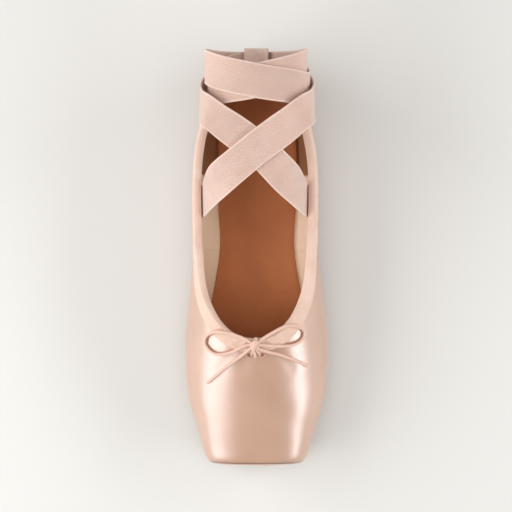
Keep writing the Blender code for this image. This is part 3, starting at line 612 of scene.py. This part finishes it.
def mottled(material, shader, vector, scale, one, two, low=0.35, high=0.65):
    """Colour that drifts between two tones over the surface."""
    cloud = add_node(material, "ShaderNodeTexNoise", scale=scale, detail=4.0)
    ramp = add_node(material, "ShaderNodeValToRGB")
    ramp.color_ramp.elements[0].position = low
    ramp.color_ramp.elements[0].color = one
    ramp.color_ramp.elements[1].position = high
    ramp.color_ramp.elements[1].color = two
    join(material, vector, cloud.inputs["Vector"])
    join(material, cloud.outputs["Fac"], ramp.inputs["Fac"])
    join(material, ramp.outputs["Color"], shader.inputs["Base Color"])
    return ramp.outputs["Color"]


satin, satin_shader = surface_material("satin", SATIN, 0.5, specular_ior_level=0.6,
                                       coat_weight=1.0, coat_ior=2.6, coat_roughness=0.36,
                                       sheen_weight=0.1)
place = object_place(satin)
cloud = mottled(satin, satin_shader, place, 38.0, SATIN_SHADE, SATIN, low=0.2, high=0.62)
# Painted highlight and painted shade at the platform's rim, multiplied into the satin's colour
rim = add_node(satin, "ShaderNodeValToRGB")
for at, shade in RIM_PAINTED_LIGHT_AND_SHADE:
    stop = rim.color_ramp.elements.new(at) if at else rim.color_ramp.elements[0]
    stop.color = (*[shade * part for part in RIM_TINT], 1.0)
rim.color_ramp.elements[-1].color = RIM_PLAIN
along = ramp_between(satin, axes_of(satin, place).outputs["Y"], RIM_FROM, RIM_TO)
join(satin, along, rim.inputs["Fac"])
gained = add_node(satin, "ShaderNodeVectorMath", operation="SCALE", scale=RIM_GAIN)
join(satin, rim.outputs["Color"], gained.inputs[0])
satin_with_painted_rim_light = mixed(satin, 1.0, cloud, gained.outputs["Vector"], "MULTIPLY")
join(satin, satin_with_painted_rim_light, satin_shader.inputs["Base Color"])
grain_bump(satin, satin_shader, place, scale=900.0, detail=2.0, strength=0.10, distance=0.0002)
drawn = add_node(satin, "ShaderNodeVectorMath", operation="MULTIPLY")
drawn.inputs[1].default_value = SATIN_DRAWN
join(satin, place, drawn.inputs[0])
grain_bump(satin, satin_shader, drawn.outputs["Vector"],
           scale=60.0, detail=3.0, strength=0.25, distance=0.0012)

canvas, canvas_shader = surface_material("lining_canvas", CANVAS, 0.85)
place = object_place(canvas)
axes = axes_of(canvas, place)
slant = add_node(canvas, "ShaderNodeMath", operation="MULTIPLY_ADD")
slant.inputs[1].default_value = HEEL_LINING_SLANT
join(canvas, axes.outputs["Z"], slant.inputs[0])
join(canvas, axes.outputs["Y"], slant.inputs[2])
at_heel = ramp_between(canvas, slant.outputs[0], HEEL_LINING_FROM - HEEL_LINING_BLUR,
                       HEEL_LINING_FROM + HEEL_LINING_BLUR)
join(canvas, mixed(canvas, at_heel, CANVAS, HEEL_LINING), canvas_shader.inputs["Base Color"])
add_weave(canvas, canvas_shader, place, CLOTH_THREADS, strength=0.35, distance=0.0002)

place_piece("satin_upper", upper_mesh, "satin", "upper", satin, canvas)

# Binding
# A folded cotton strip sewn over the whole topline, the casing that the drawstring runs in. The
# string gathers it in small folds round the knot.
BINDING_COLOUR = (0.78, 0.57, 0.47, 1.0)
BINDING_SHADE = (0.73, 0.51, 0.41, 1.0)

# Puckers all over the strip: their height and how many there are to a metre each way
PUCKER_HEIGHT = 0.00012
PUCKERS = (260, 260, 90)

# Folds of the gathering: the spot they lie round, their reach, their height and their number
GATHER_SPOT = Vector((0.001, 0.003))
GATHER_REACH = 0.024
GATHER_HEIGHT = 0.0013
FOLDS = (520, 210)
FOLD_SLICE = 0.5
binding_mesh = refined(merged("binding"), "casing")
binding_cloth, binding_shader = surface_material("casing_cotton", BINDING_COLOUR, 0.8,
                                                 sheen_weight=0.25)
place = object_place(binding_cloth)
mottled(binding_cloth, binding_shader, place, 70.0, BINDING_SHADE, BINDING_COLOUR)
add_weave(binding_cloth, binding_shader, place, CLOTH_THREADS, strength=0.3, distance=0.0002)
shape = bmesh.new()
shape.from_mesh(binding_mesh)
shape.normal_update()
for vertex in shape.verts:
    pucker = noise.noise(Vector([part * many for part, many in zip(vertex.co, PUCKERS)]))
    away = (vertex.co.xy - GATHER_SPOT).length / GATHER_REACH
    fold = noise.noise(Vector((*[part * many for part, many in zip(vertex.co.xy, FOLDS)],
                               FOLD_SLICE)))
    gather = GATHER_HEIGHT * math.exp(-away * away) * fold * max(vertex.normal.z, 0.0)
    vertex.co += vertex.normal * (PUCKER_HEIGHT * pucker + gather)
shape.to_mesh(binding_mesh)
shape.free()
place_piece("casing", binding_mesh, "cotton", "binding", binding_cloth)

# Stitching of the casing
# A lockstitch in matching thread, close to the casing's outer edge.
STITCH_LENGTH = 0.0021
STITCH_GAP = 0.0010
STITCH_THICKNESS = 0.00042
STITCH_INSET = 0.0011
THREAD_COLOUR = (0.78, 0.54, 0.43, 1.0)
BEAD_SIDES = 6
BEAD_RINGS = 4

# Where the throat ends, how near the middle plane counts as on it, and how much being far out
# counts against being far down in finding the casing's outer lower edge
THROAT_END = 0.03
ON_MIDDLE = 1e-5
OUTNESS = 0.8


def casing_edge():
    """The casing's outer lower edge, in order from the throat's middle round the right side."""
    strip = merged("binding")
    ring = {vertex for vertex in strip.verts
            if abs(vertex.co.x) < ON_MIDDLE and vertex.co.y < THROAT_END}
    seen, line = set(), []
    while ring:
        side = [vertex.co.copy() for vertex in ring if vertex.co.x > -ON_MIDDLE]
        top = max(side, key=lambda co: co.z)
        middle = Vector((0.0, min(max(top.y, THROAT_END), CENTRE_LINE[1]), CENTRE_LINE[2]))
        low = max(side, key=lambda co: (co - top).length + (co - middle).length * OUTNESS)
        line.append((low, top))
        seen |= ring
        ring = {edge.other_vert(vertex) for vertex in ring for edge in vertex.link_edges} - seen
    strip.free()
    return line


def stitch(shape, start, end, normal, thickness):
    """One stitch: a short rounded bead of thread, sunk by half in the cloth."""
    along = end - start
    across = normal.cross(along).normalized()
    turn = Matrix((along.normalized(), across, normal)).transposed().to_4x4()
    made = bmesh.ops.create_uvsphere(shape, u_segments=BEAD_SIDES, v_segments=BEAD_RINGS,
                                     radius=1.0)
    half = along.length / 2
    bmesh.ops.scale(shape, vec=(half, thickness / 2, thickness / 2), verts=made["verts"])
    bmesh.ops.transform(shape, matrix=Matrix.Translation((start + end) / 2) @ turn,
                        verts=made["verts"])


def spot_at(line, gone, reach):
    """The spot and normal at a reach along a line of them."""
    index = next((k for k in range(1, len(gone)) if gone[k] >= reach), len(gone) - 1)
    share = (reach - gone[index - 1]) / max(gone[index] - gone[index - 1], NO_LENGTH)
    before, after = (Vector((*spot, *normal)) for spot, normal in line[index - 1:index + 1])
    between = before.lerp(after, min(share, 1.0))
    return Vector(between[:3]), Vector(between[3:]).normalized()


def stitched(name, lines, material):
    """Rows of stitches along lines of (spot, normal), as one piece."""
    shape = bmesh.new()
    for line in lines:
        gone = lengths_along([spot for spot, normal in line])
        count = int(gone[-1] / (STITCH_LENGTH + STITCH_GAP))
        step = gone[-1] / max(count, 1)
        for index in range(count):
            start, normal = spot_at(line, gone, index * step + STITCH_GAP / 2)
            end, _ = spot_at(line, gone, (index + 1) * step - STITCH_GAP / 2)
            stitch(shape, start, end, normal, STITCH_THICKNESS)
    place_piece(name, as_mesh(shape, name), "cotton", None, material)


thread, thread_shader = surface_material("casing_thread", THREAD_COLOUR, 0.7, sheen_weight=0.2)
grain_bump(thread, thread_shader, object_place(thread),
           scale=5000.0, detail=2.0, strength=0.4, distance=0.0001)
casing_surface = BVHTree.FromPolygons([vertex.co for vertex in binding_mesh.vertices],
                                      [tuple(face.vertices) for face in binding_mesh.polygons])
rows = []
for low, top in casing_edge():
    toward = (top - low).normalized()
    spot, normal, _, _ = casing_surface.find_nearest(low + toward * STITCH_INSET)
    if outward(spot, normal) < 0:
        normal = -normal
    rows.append((spot, normal))
left_rows = [(Vector((-spot.x, spot.y, spot.z)), Vector((-normal.x, normal.y, normal.z)))
             for spot, normal in rows]
stitched("casing_stitches", [rows, left_rows], thread)

# Eyelets of the drawstring
# Two small oval holes under the knot, whipped round with thread. Each hole is a flat dark reddish
# disc of painted shade, just over the satin.
EYELET_PLACES = ((-0.0026, -0.0025), (0.0046, -0.0023))
EYELET_LENGTH = 0.0034
EYELET_WIDTH = 0.0024
EYELET_THREAD = 0.0004
EYELET_LIFT = 0.0004
EYELET_STITCHES = 20
# Colour of the painted shade in each hole
EYELET_PAINTED_SHADE = (0.34, 0.135, 0.09, 1.0)

# Shares of the hole's half size: where the stitches start and end, and where the shade ends
THREAD_FROM, THREAD_TO, SHADE_TO = 0.78, 1.32, 1.02

# How far apart the vamp is felt for its slope
SLOPE_STEP = 0.001
eyelet_shape = bmesh.new()
hole_shade_shape = bmesh.new()
for across, along in EYELET_PLACES:
    centre = on_vamp(across, along, EYELET_LIFT)
    front = on_vamp(across, along - SLOPE_STEP, EYELET_LIFT)
    side = on_vamp(across + SLOPE_STEP, along, EYELET_LIFT)
    normal = (side - centre).cross(centre - front).normalized()
    rim = []
    for index in range(EYELET_STITCHES):
        turn = index / EYELET_STITCHES * 2 * math.pi
        reach = (side - centre) * math.cos(turn) * EYELET_LENGTH / 2
        reach += (centre - front) * math.sin(turn) * EYELET_WIDTH / 2
        reach /= SLOPE_STEP
        rim.append(hole_shade_shape.verts.new(centre + reach * SHADE_TO))
        stitch(eyelet_shape, centre + reach * THREAD_FROM, centre + reach * THREAD_TO, normal,
               EYELET_THREAD)
    hole_shade_shape.faces.new(rim)
hole_shade_shape.normal_update()
place_piece("eyelets", as_mesh(eyelet_shape, "eyelets"), "cotton", None, thread)
eyelet_painted_shade, _ = surface_material("eyelet_painted_shade", EYELET_PAINTED_SHADE, 0.9)
place_piece("eyelet_hole_shade", as_mesh(hole_shade_shape, "eyelet_hole_shade"), "cotton", None, eyelet_painted_shade)

# Insole
# Brown leather over a card board, laid on the turned-in edge of the upper.
INSOLE_LIGHT = (0.50, 0.175, 0.063, 1.0)
INSOLE_DARK = (0.38, 0.126, 0.044, 1.0)
leather, leather_shader = surface_material("insole_leather", INSOLE_LIGHT, 0.5)
place = object_place(leather)
mottled(leather, leather_shader, place, 30.0, INSOLE_DARK, INSOLE_LIGHT, low=0.25, high=0.7)
pores = add_node(leather, "ShaderNodeTexVoronoi", scale=1400.0)
join(leather, place, pores.inputs["Vector"])
bump_of(leather, leather_shader, pores.outputs["Distance"], strength=0.25, distance=0.0003)
place_piece("insole_leather", refined(merged("insole"), "insole_leather"), "leather", "insole",
            leather)

# Outsole
# Split leather with its nap outside, sewn on short of the platform, thin and flat at its edge.
SUEDE_LIGHT = (0.56, 0.38, 0.24, 1.0)
SUEDE_DARK = (0.50, 0.33, 0.205, 1.0)
outsole_mesh = refined(merged("outsole"), "outsole_suede")
for vertex in outsole_mesh.vertices:
    vertex.co.z = max(vertex.co.z, 0.0)
suede, suede_shader = surface_material("outsole_suede", SUEDE_LIGHT, 0.9, sheen_weight=0.3)
place = object_place(suede)
mottled(suede, suede_shader, place, 90.0, SUEDE_DARK, SUEDE_LIGHT)
grain_bump(suede, suede_shader, place, scale=1800.0, detail=4.0, strength=0.6, distance=0.0004)
place_piece("outsole_suede", outsole_mesh, "suede", "outsole", suede)

# Elastics
# Woven elastic webbing in matte peach, with fine cords along it and a firm selvedge. The inner
# one goes twice round the ankle. The outer one is sewn inside both quarters and crosses in front.
ELASTIC_COLOUR = (0.655, 0.470, 0.395, 1.0)
ELASTIC_SHADE = (0.61, 0.430, 0.355, 1.0)
STRAP_STEP = 0.0022
STRAP_WIDTH = 0.0190
STRAP_THICKNESS = 0.0012
SELVEDGE = (0.73, 0.55, 0.475, 1.0)
CORD_WIDTH = 0.0011
PICK_WIDTH = 0.0007

# How near a face is in area to a strap's end cap's triangle to be one
CAP_WITHIN = 0.04

# The picks' height against the cords', the share of the half width at which the selvedge starts,
# and how sharply it does
PICK_SHARE = 0.35
SELVEDGE_FROM = 0.88
SELVEDGE_SHARPNESS = 25.0

# Half of a strap's cross section: shares of its half width and of its half thickness
STRAP_PROFILE = ((-1.0, 0.35), (-0.985, 0.80), (-0.955, 1.0), (-0.90, 0.90), (-0.55, 0.92),
                 (-0.18, 0.95), (0.18, 0.95), (0.55, 0.92), (0.90, 0.90), (0.955, 1.0),
                 (0.985, 0.80), (1.0, 0.35))


def strap_sections(node, width):
    """Centre, half width and half thickness vectors of each section of a packed strap."""
    shape = merged(node)
    cap_area = width * STRAP_THICKNESS / 2
    caps = [face for face in shape.faces if abs(face.calc_area() / cap_area - 1) < CAP_WITHIN]
    first = caps[0]
    ring = set(first.verts)
    for face in caps[1:]:
        if len(ring & set(face.verts)) == 2:
            ring |= set(face.verts)
            break
    sections, seen = [], set()
    while ring:
        corners = sorted((vertex.co.copy() for vertex in ring), key=tuple)
        one = corners.pop(0)
        partner = min(corners, key=lambda c: (c - one).length)
        corners.remove(partner)
        other, last = corners
        centre = (one + partner + other + last) / 4
        across = (other + last - one - partner) / 4
        thick = (partner - one) / 2
        if sections:
            before = sections[-1]
            across *= 1 if across.dot(before[1]) > 0 else -1
            thick *= 1 if thick.dot(before[2]) > 0 else -1
        sections.append((centre, across, thick))
        seen |= ring
        ring = {edge.other_vert(vertex) for vertex in ring for edge in vertex.link_edges} - seen
    shape.free()
    return sections


def finer_sections(sections, step):
    """The same strap in short steps, smooth along its centre."""
    padded = [tuple(2 * a - b for a, b in zip(sections[0], sections[1]))] + sections
    padded.append(tuple(2 * a - b for a, b in zip(sections[-1], sections[-2])))
    fine = []
    for a, b, c, d in zip(padded, padded[1:], padded[2:], padded[3:]):
        count = max(1, round((c[0] - b[0]).length / step))
        for index in range(count):
            fine.append([curved(*four, index / count) for four in zip(a, b, c, d)])
    fine.append(list(sections[-1]))
    return fine


def strap_mesh(name, sections, width):
    """A webbing strap along its sections, with its own lengthwise and crosswise map."""
    ring = [(side, high) for side, high in STRAP_PROFILE]
    ring += [(side, -high) for side, high in reversed(STRAP_PROFILE)]
    shape = bmesh.new()
    start = [shape.verts.new((side, high, 0.0)) for side, high in ring]
    edges = [shape.edges.new((a, b)) for a, b in zip(start, start[1:] + start[:1])]
    bmesh.ops.contextual_create(shape, geom=edges)
    order = list(start)
    gone, spots = 0.0, {}
    for index, (centre, across, thick) in enumerate(sections):
        if index:
            gone += (centre - sections[index - 1][0]).length
            made = bmesh.ops.extrude_edge_only(shape, edges=edges)["geom"]
            fresh = [item for item in made if isinstance(item, bmesh.types.BMVert)]
            edges = [item for item in made if isinstance(item, bmesh.types.BMEdge)
                     and item.verts[0] in fresh and item.verts[1] in fresh]
            order = [next(edge.other_vert(vertex) for edge in vertex.link_edges
                          if edge.other_vert(vertex) in fresh) for vertex in order]
        for vertex, (side, high) in zip(order, ring):
            vertex.co = centre + across * side + thick * high
            spots[vertex] = (gone, side * width / 2)
    bmesh.ops.contextual_create(shape, geom=edges)
    bmesh.ops.recalc_face_normals(shape, faces=shape.faces)
    layer = shape.loops.layers.uv.new("UVMap")
    for face in shape.faces:
        for corner in face.loops:
            corner[layer].uv = spots[corner.vert]
    return as_mesh(shape, name)


def webbing_group():
    """Woven elastic: cords along the strap, picks across it, and a mask of its two edges."""
    group, entry, leave, axes = new_group("webbing", ["Cord", "Pick", "Half Width"],
                                          ["Height", "Edge"])
    along, across = axes.outputs["X"], axes.outputs["Y"]
    cords = maths(group, "SINE", maths(group, "MULTIPLY", across, entry.outputs["Cord"]))
    picks = maths(group, "SINE", maths(group, "MULTIPLY", along, entry.outputs["Pick"]))
    height = maths(group, "MULTIPLY_ADD", picks, PICK_SHARE, maths(group, "ABSOLUTE", cords))
    group.links.new(height, leave.inputs["Height"])
    reach = maths(group, "DIVIDE", maths(group, "ABSOLUTE", across), entry.outputs["Half Width"])
    edge = maths(group, "MULTIPLY", maths(group, "SUBTRACT", reach, SELVEDGE_FROM),
                 SELVEDGE_SHARPNESS)
    edge = maths(group, "MINIMUM", maths(group, "MAXIMUM", edge, 0.0), 1.0)
    group.links.new(edge, leave.inputs["Edge"])
    return group


webbing = webbing_group()


def elastic_material(name, width, colour):
    """Woven elastic of a width, a little see-through to light, with a paler selvedge."""
    made, shader = surface_material(name, colour, 0.78, sheen_weight=0.3, subsurface_weight=0.4,
                                    subsurface_scale=0.002, subsurface_radius=(1.0, 0.6, 0.5))
    strap_map = add_node(made, "ShaderNodeUVMap", uv_map="UVMap")
    band = add_node(made, "ShaderNodeGroup", node_tree=webbing)
    band.inputs["Cord"].default_value = math.pi / CORD_WIDTH
    band.inputs["Pick"].default_value = 2 * math.pi / PICK_WIDTH
    band.inputs["Half Width"].default_value = width / 2
    join(made, strap_map.outputs["UV"], band.inputs["Vector"])
    cloth = mottled(made, shader, object_place(made), 60.0, ELASTIC_SHADE, colour)
    edged = mixed(made, band.outputs["Edge"], cloth, SELVEDGE)
    join(made, edged, shader.inputs["Base Color"])
    bump_of(made, shader, band.outputs["Height"], strength=0.4, distance=0.00025)
    return made


webbing_cloth = elastic_material("elastic_webbing", STRAP_WIDTH, ELASTIC_COLOUR)
for node in ("ankle_elastic", "crossed_elastic"):
    sections = finer_sections(strap_sections(node, STRAP_WIDTH), STRAP_STEP)
    place_piece(node + "_webbing", strap_mesh(node + "_webbing", sections, STRAP_WIDTH), "elastic",
                node, webbing_cloth)

# Two rows of stitches across each end of the crossed elastic, on its side towards the foot
SEAT_SHARES = [index / 10 - 0.8 for index in range(17)]
SEAT_LIFT = 1.05
seat_rows = []
for section in (sections[1], sections[2], sections[-3], sections[-2]):
    centre, across, thick = (Vector(part) for part in section)
    inward = thick if thick.x * centre.x < 0 else -thick
    seat_rows.append([(centre + across * share + inward * SEAT_LIFT, inward.normalized())
                      for share in SEAT_SHARES])
stitched("elastic_end_stitches", seat_rows, thread)

# Heel loop
# A short piece of the same webbing, rolled round the elastics and sewn to the back seam. Its
# colour is the webbing's made paler, as painted light against the shade that the elastics cast on
# it.
LOOP_WIDTH = 0.0140
LOOP_LEAN = 0.0015
# Paler than the webbing: painted light that makes up for the shade the loop lies in
LOOP_PAINTED_LIGHT_COLOUR = (0.84, 0.64, 0.55, 1.0)
LOOP_STEP = 0.0008

# The loop's middle line from its foot on the heel: places along and heights
LOOP_PATH = (
    (0.1578, 0.0350), (0.1584, 0.0430), (0.1586, 0.0490), (0.1578, 0.0513), (0.1556, 0.0521),
    (0.1530, 0.0523), (0.1513, 0.0534), (0.1508, 0.0560), (0.1515, 0.0586), (0.1540, 0.0598),
    (0.1600, 0.0601), (0.1665, 0.0600), (0.1706, 0.0593), (0.1727, 0.0575), (0.1731, 0.0549),
    (0.1716, 0.0528), (0.1680, 0.0522), (0.1630, 0.0522), (0.1600, 0.0522),
)

# Its two rows of stitches: their heights, the face that they lie on, which slants, and their spots
LOOP_SEAMS = (0.0375, 0.0465)
LOOP_FACE = 0.1572
LOOP_SLANT = 0.08
LOOP_SPOTS = range(-11, 12)
LOOP_SPOT_STEP = 0.0005
path, _ = smooth_line([Vector((LOOP_LEAN, along, high)) for along, high in LOOP_PATH], LOOP_STEP)
sections = []
for index, spot in enumerate(path):
    ahead = path[min(index + 1, len(path) - 1)] - path[max(index - 1, 0)]
    across = Vector((LOOP_WIDTH / 2, 0.0, 0.0))
    sections.append((spot, across, across.cross(ahead).normalized() * STRAP_THICKNESS / 2))
lit_loop_cloth = elastic_material("loop_webbing", LOOP_WIDTH, LOOP_PAINTED_LIGHT_COLOUR)
place_piece("heel_loop_webbing", strap_mesh("heel_loop_webbing", sections, LOOP_WIDTH),
            "elastic", "heel_loop", lit_loop_cloth)
lap_rows = []
for high in LOOP_SEAMS:
    along = LOOP_FACE + (high - LOOP_PATH[0][1]) * LOOP_SLANT
    lap_rows.append([(Vector((LOOP_LEAN + index * LOOP_SPOT_STEP, along, high)),
                      Vector((0.0, -1.0, 0.0))) for index in LOOP_SPOTS])
stitched("heel_loop_stitches", lap_rows, thread)

# Floor and light
# A plain pale floor under a soft studio: a large softbox low on each side and a dim one above.
FLOOR_SIZE = 8.0
FLOOR_COLOUR = (0.70, 0.69, 0.665, 1.0)
ROOM_COLOUR = (0.92, 0.90, 0.87, 1.0)
ROOM_STRENGTH = 0.28
shape = bmesh.new()
bmesh.ops.create_grid(shape, x_segments=1, y_segments=1, size=FLOOR_SIZE / 2)
mesh = as_mesh(shape, "floor")
floor_paint, _ = surface_material("floor_paint", FLOOR_COLOUR, 0.9)
mesh.materials.append(floor_paint)
floor = bpy.data.objects.new("floor", mesh)
bpy.context.scene.collection.objects.link(floor)

# Each row is where a softbox stands, its size along and up, its power and whether satin shows it
SOFTBOXES = {
    "softbox_left": (Vector((-0.69, -0.02, 0.45)), (1.1, 0.62), 7.5, True),
    "softbox_right": (Vector((0.78, -0.02, 0.41)), (1.1, 0.21), 5.5, True),
    "softbox_above": (Vector((0.00, -0.10, 1.80)), (1.6, 1.6), 12.5, False),
}
LIT_SPOT = Vector((0.0, 0.04, 0.03))
for name, (spot, size, power, glossy) in SOFTBOXES.items():
    light = bpy.data.lights.new(name, "AREA")
    light.shape = "RECTANGLE"
    light.size, light.size_y = size
    light.energy = power
    lamp = bpy.data.objects.new(name, light)
    lamp.location = spot
    lamp.visible_glossy = glossy
    lamp.rotation_mode = "QUATERNION"
    lamp.rotation_quaternion = (LIT_SPOT - spot).to_track_quat("-Z", "Y")
    bpy.context.scene.collection.objects.link(lamp)
world = bpy.data.worlds.new("studio")
world.use_nodes = True
world.node_tree.nodes["Background"].inputs["Color"].default_value = ROOM_COLOUR
world.node_tree.nodes["Background"].inputs["Strength"].default_value = ROOM_STRENGTH
bpy.context.scene.world = world
bpy.context.scene.view_settings.view_transform = "Standard"
